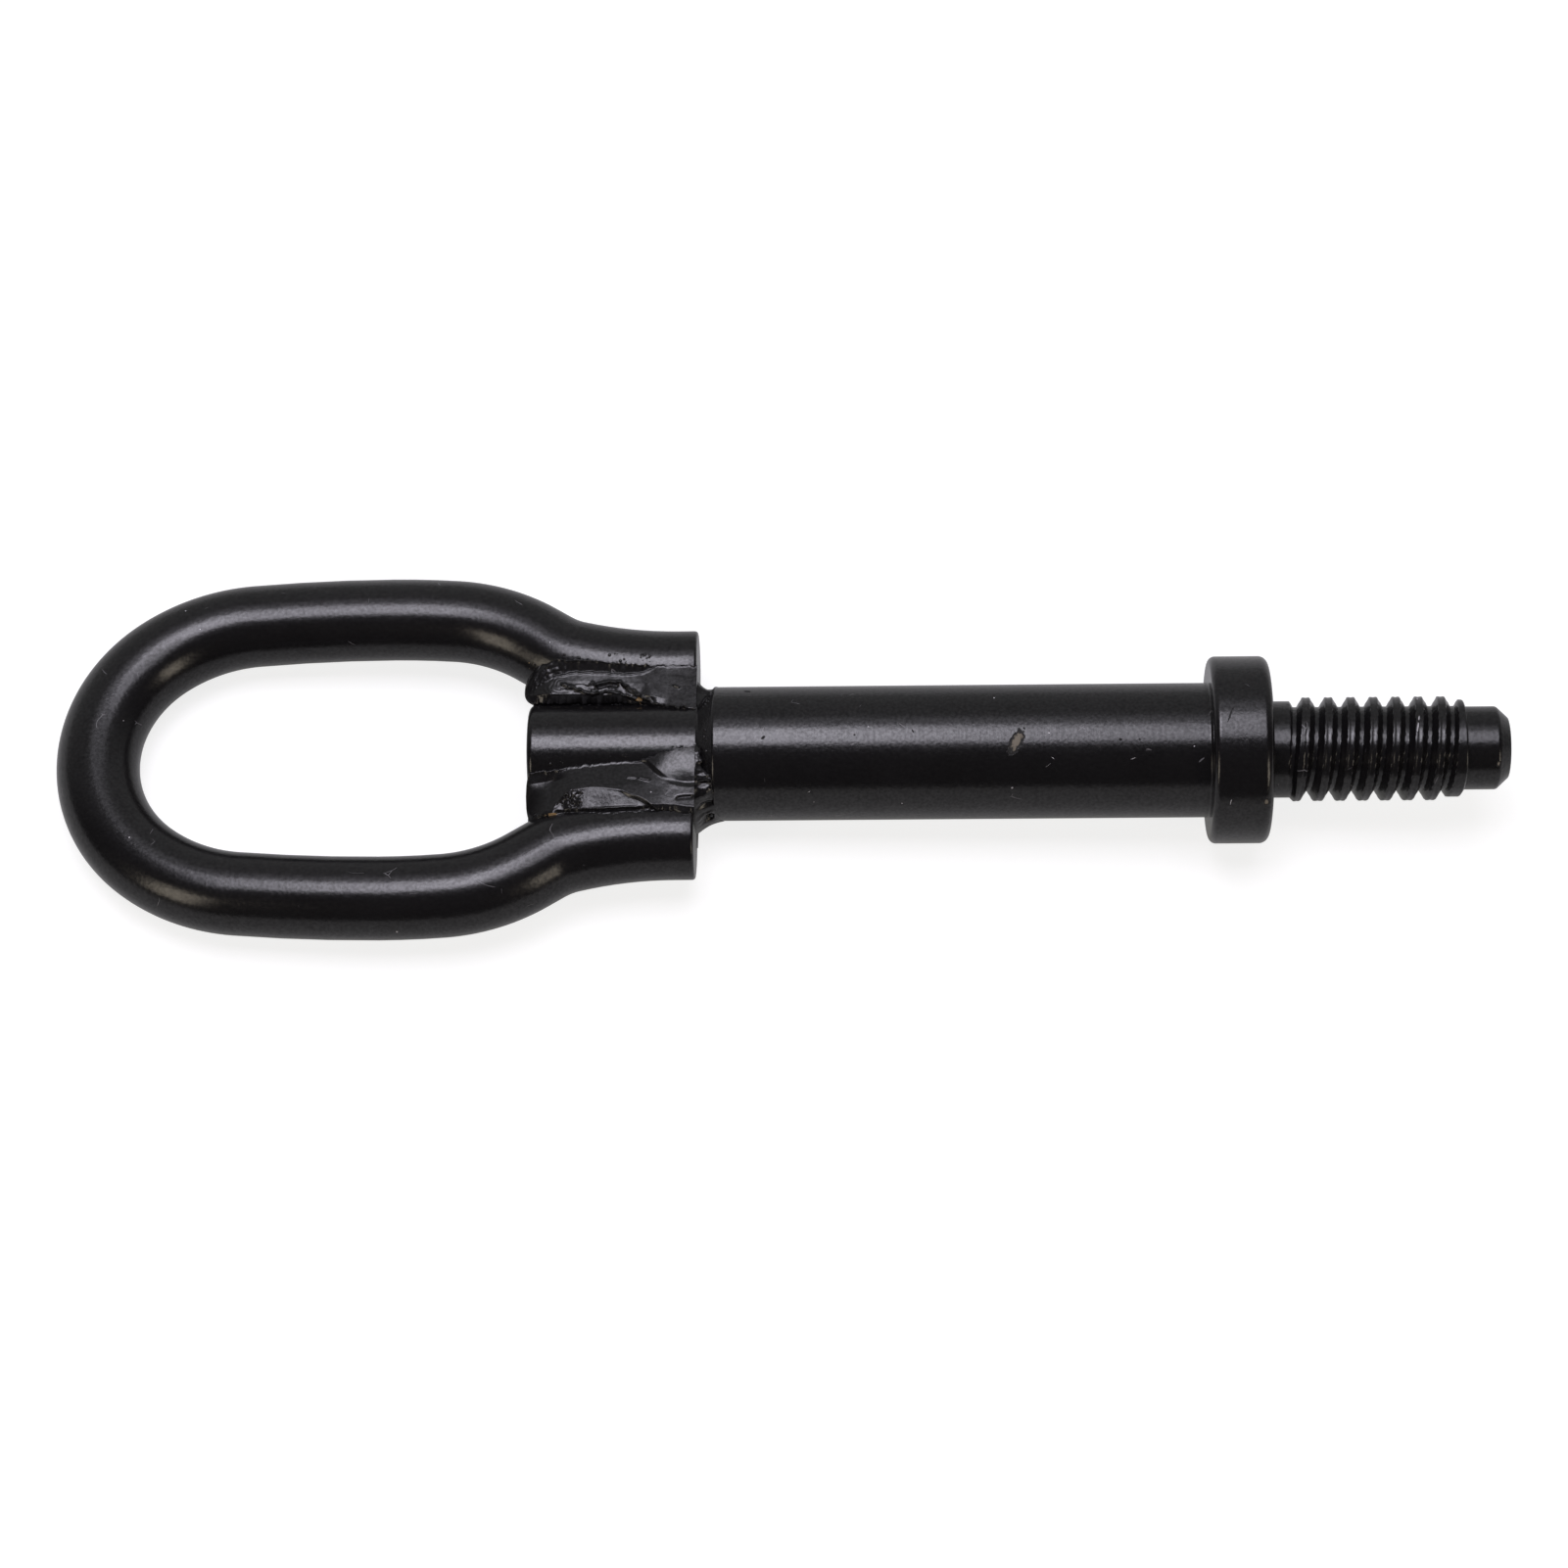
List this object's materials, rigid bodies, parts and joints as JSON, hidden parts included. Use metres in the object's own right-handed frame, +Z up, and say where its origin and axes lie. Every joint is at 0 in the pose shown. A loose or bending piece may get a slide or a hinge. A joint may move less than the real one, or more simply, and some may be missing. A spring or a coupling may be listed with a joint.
{
  "type": "screw-in tow eye",
  "caption": "Screw-in tow eye: bent round-bar loop welded to a turned shank with a collar and a coarse left-hand thread, coated black.",
  "frame": {"origin": "on the ground, under the middle of the bounding box, with the eye lying on its collar and the nose of its loop", "axes": "+X from the loop towards the thread's tip, +Z up, +Y towards the loop's left side seen from the loop"},
  "size_m": [0.2484, 0.068, 0.0322],
  "materials": {
    "shank_coat": "satin black coating over turned steel",
    "loop_coat": "satin black coating over rolled bar",
    "weld_coat": "satin black coating over rippled weld metal"
  },
  "bodies": {
    "root": {"threaded_shank": "shank_coat", "tow_loop": "loop_coat", "groove_weld_top_left": "weld_coat", "groove_weld_top_right": "weld_coat", "groove_weld_under_left": "weld_coat", "groove_weld_under_right": "weld_coat", "end_weld_left": "weld_coat", "end_weld_right": "weld_coat"}
  },
  "joints": []
}
